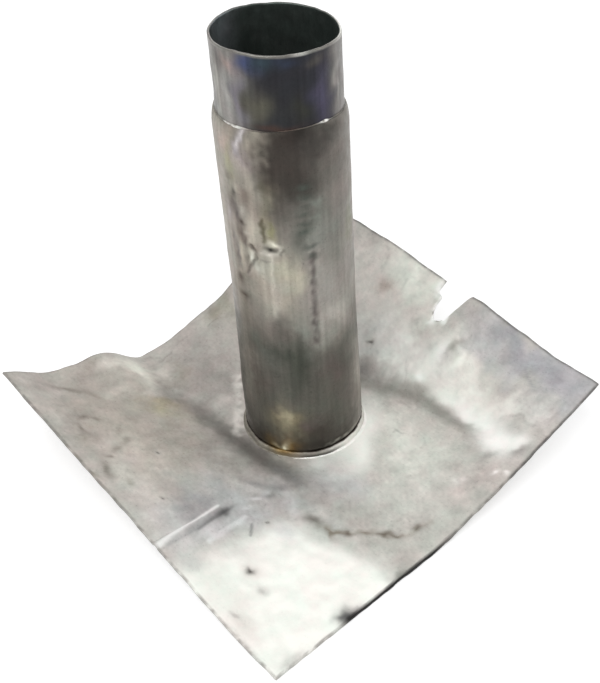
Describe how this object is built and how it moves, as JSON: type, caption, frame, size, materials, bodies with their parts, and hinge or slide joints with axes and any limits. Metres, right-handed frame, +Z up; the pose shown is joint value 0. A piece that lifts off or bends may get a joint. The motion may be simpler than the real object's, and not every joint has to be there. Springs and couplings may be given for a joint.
{
  "type": "lead roof outlet",
  "caption": "Round lead outlet pipe with a thinner spigot at its end, burned upright into a square lead sheet dressed into a shallow trough, for draining a flat roof or gutter.",
  "frame": {"origin": "on the pipe's axis, level with the underside of the sheet's flat floor", "axes": "+Z up the pipe towards the spigot, X and Y along the sheet's edges, +X towards the front corner's edge"},
  "size_m": [0.4003, 0.4, 0.4114],
  "materials": {
    "sheet_lead": "dressed lead sheet, dull grey with a patchy bloom",
    "pipe_lead": "rolled lead, handled and stained brown",
    "spigot_lead": "lead with blue and violet heat tint",
    "weld_lead": "burned lead bead, bright"
  },
  "bodies": {
    "root": {"base_sheet": "sheet_lead", "outlet_pipe": "pipe_lead", "spigot": "spigot_lead", "base_weld": "weld_lead", "spigot_weld": "weld_lead"}
  },
  "joints": []
}
